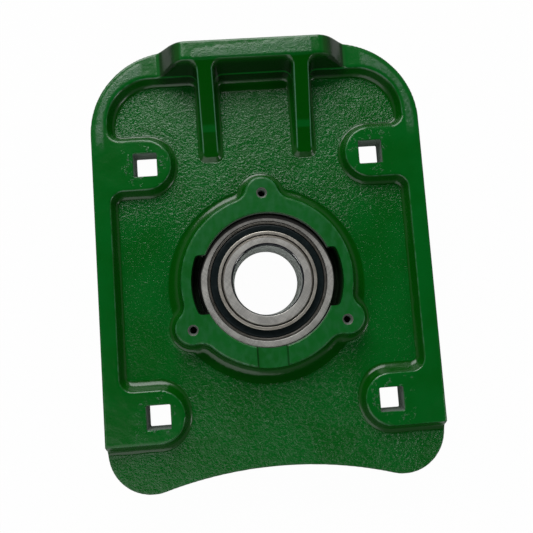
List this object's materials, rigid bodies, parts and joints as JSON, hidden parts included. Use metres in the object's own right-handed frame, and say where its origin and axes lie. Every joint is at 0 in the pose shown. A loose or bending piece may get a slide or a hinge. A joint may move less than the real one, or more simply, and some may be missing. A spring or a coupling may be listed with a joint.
{
  "type": "housed bearing unit",
  "caption": "Cast plate housing with square bolt holes, a tall ribbed flange and a round hub that carries a sealed self-aligning ball bearing insert.",
  "frame": {"origin": "where the bearing axis meets the mounting face, the flat back of the plate", "axes": "+Z along the bearing axis out of the front, +Y from the bearing to the tall flange, +X to the right seen from the front"},
  "size_m": [0.204, 0.2692, 0.0425],
  "materials": {
    "painted_cast_iron": "gloss green paint over rough sand-cast iron",
    "ground_ring_steel": "ground bearing steel",
    "polished_ball_steel": "polished bearing steel",
    "pressed_cage_steel": "pressed sheet steel",
    "rivet_steel": "headed rivet steel",
    "seal_case_steel": "pressed sheet steel, oiled",
    "seal_rubber": "moulded nitrile rubber",
    "flinger_steel": "pressed sheet steel with a rolled edge"
  },
  "bodies": {
    "housing": {"housing": "painted_cast_iron"},
    "insert": {"outer_ring": "ground_ring_steel", "front_seal_case": "seal_case_steel", "rear_seal_case": "seal_case_steel", "front_seal_lip": "seal_rubber", "rear_seal_lip": "seal_rubber"},
    "shaft_ring": {"inner_ring": "ground_ring_steel", "front_flinger": "flinger_steel", "rear_flinger": "flinger_steel"},
    "ball_cage": {"cage_front": "pressed_cage_steel", "cage_rear": "pressed_cage_steel", "cage_rivet_1": "rivet_steel", "cage_rivet_2": "rivet_steel", "cage_rivet_3": "rivet_steel", "cage_rivet_4": "rivet_steel", "cage_rivet_5": "rivet_steel", "cage_rivet_6": "rivet_steel", "cage_rivet_7": "rivet_steel", "cage_rivet_8": "rivet_steel", "cage_rivet_9": "rivet_steel", "ball_1": "polished_ball_steel", "ball_2": "polished_ball_steel", "ball_3": "polished_ball_steel", "ball_4": "polished_ball_steel", "ball_5": "polished_ball_steel", "ball_6": "polished_ball_steel", "ball_7": "polished_ball_steel", "ball_8": "polished_ball_steel", "ball_9": "polished_ball_steel"}
  },
  "joints": [
    {"name": "insert_tilt", "type": "hinge", "parent": "housing", "child": "insert", "pos_m": [0, 0, 0.0022], "axis": [1, 0, 0], "range_deg": [-2.5, 2.5]},
    {"name": "inner_spin", "type": "hinge", "parent": "insert", "child": "shaft_ring", "pos_m": [0, 0, 0.0022], "axis": [0, 0, 1], "continuous": true},
    {"name": "cage_spin", "type": "hinge", "parent": "insert", "child": "ball_cage", "pos_m": [0, 0, 0.0022], "axis": [0, 0, 1], "continuous": true}
  ],
  "couplings": [
    {"joint": "cage_spin", "follows": "inner_spin", "ratio": 0.39758}
  ]
}
